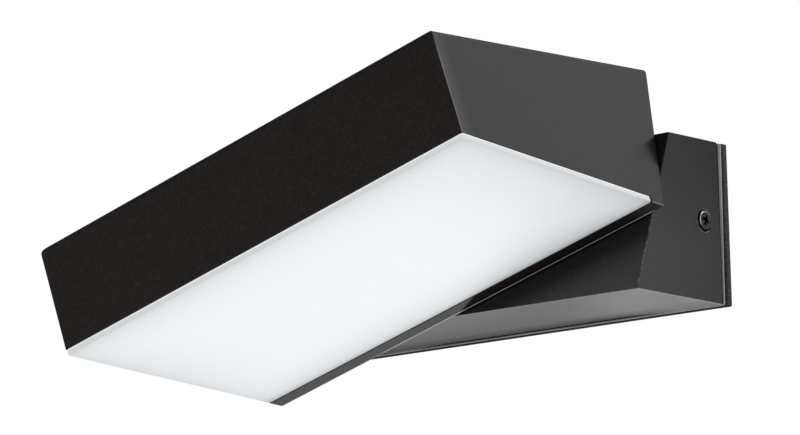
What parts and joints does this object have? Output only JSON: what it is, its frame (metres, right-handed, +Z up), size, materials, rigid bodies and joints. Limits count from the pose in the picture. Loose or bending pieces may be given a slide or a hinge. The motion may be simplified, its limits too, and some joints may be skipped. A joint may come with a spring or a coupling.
{
  "type": "outdoor wall light",
  "caption": "Outdoor wall light: wedge-shaped base on a wall plate and a long turning head with an opal diffuser underneath.",
  "frame": {"origin": "centre of the wall plate's back face, on the wall", "axes": "+X along the wall to the right as seen from the front, +Y into the wall, +Z up"},
  "size_m": [0.2272, 0.2198, 0.1267],
  "materials": {
    "paint": "satin dark grey paint on cast aluminium, very fine texture",
    "plate_paint": "satin black paint on cast aluminium",
    "silicone": "gloss translucent blue-grey silicone",
    "seal_silicone": "matte pale grey silicone",
    "opal": "satin opal polycarbonate",
    "rubber": "matte black rubber",
    "black_steel": "black oxide steel",
    "zinc": "zinc plated steel",
    "brass": "plain brass",
    "aluminium": "mill finish",
    "white_plastic": "satin white plastic",
    "bush_plastic": "natural plastic",
    "driver_case": "matte dark grey potted case",
    "board_white": "white solder mask",
    "brown_insulation": "brown wire insulation",
    "blue_insulation": "blue wire insulation",
    "green_insulation": "green wire insulation",
    "black_sheath": "black lead sheath"
  },
  "bodies": {
    "base": {"wall_plate": "plate_paint", "base_gasket": "silicone", "base_housing": "paint", "side_screw_left": "black_steel", "side_screw_right": "black_steel", "cable_grommet": "rubber", "terminal_block": "white_plastic", "terminal_fixing_screw": "zinc", "earth_tag": "brass", "earth_screw": "zinc", "led_driver": "driver_case", "driver_screw_left": "zinc", "driver_screw_right": "zinc", "live_lead": "brown_insulation", "neutral_lead": "blue_insulation", "earth_lead": "green_insulation", "output_lead": "black_sheath", "pivot_bush": "bush_plastic", "friction_washer": "bush_plastic", "pivot_seal": "rubber", "terminal_screw_1": "brass", "terminal_screw_2": "brass", "terminal_screw_3": "brass", "terminal_screw_4": "brass", "terminal_screw_5": "brass", "terminal_screw_6": "brass"},
    "head": {"head_housing": "paint", "pivot_shaft": "zinc", "shaft_plug": "rubber", "stop_ring": "zinc", "wave_washer": "zinc", "lock_nut": "zinc", "led_tray": "aluminium", "led_board": "board_white", "reflector": "white_plastic", "diffuser": "opal", "diffuser_seal": "seal_silicone", "head_lead": "black_sheath", "shaft_screw_1": "zinc", "shaft_screw_2": "zinc", "shaft_screw_3": "zinc", "tray_screw_1": "zinc", "tray_screw_2": "zinc", "tray_screw_3": "zinc", "tray_screw_4": "zinc", "board_screw_1": "zinc", "board_screw_2": "zinc", "board_screw_3": "zinc", "board_screw_4": "zinc"}
  },
  "joints": [
    {"name": "head_swivel", "type": "hinge", "parent": "base", "child": "head", "pos_m": [0, -0.05175, 0.00035], "axis": [0, -0.9397, 0.3421], "range_deg": [-109.8, 70.2]}
  ]
}
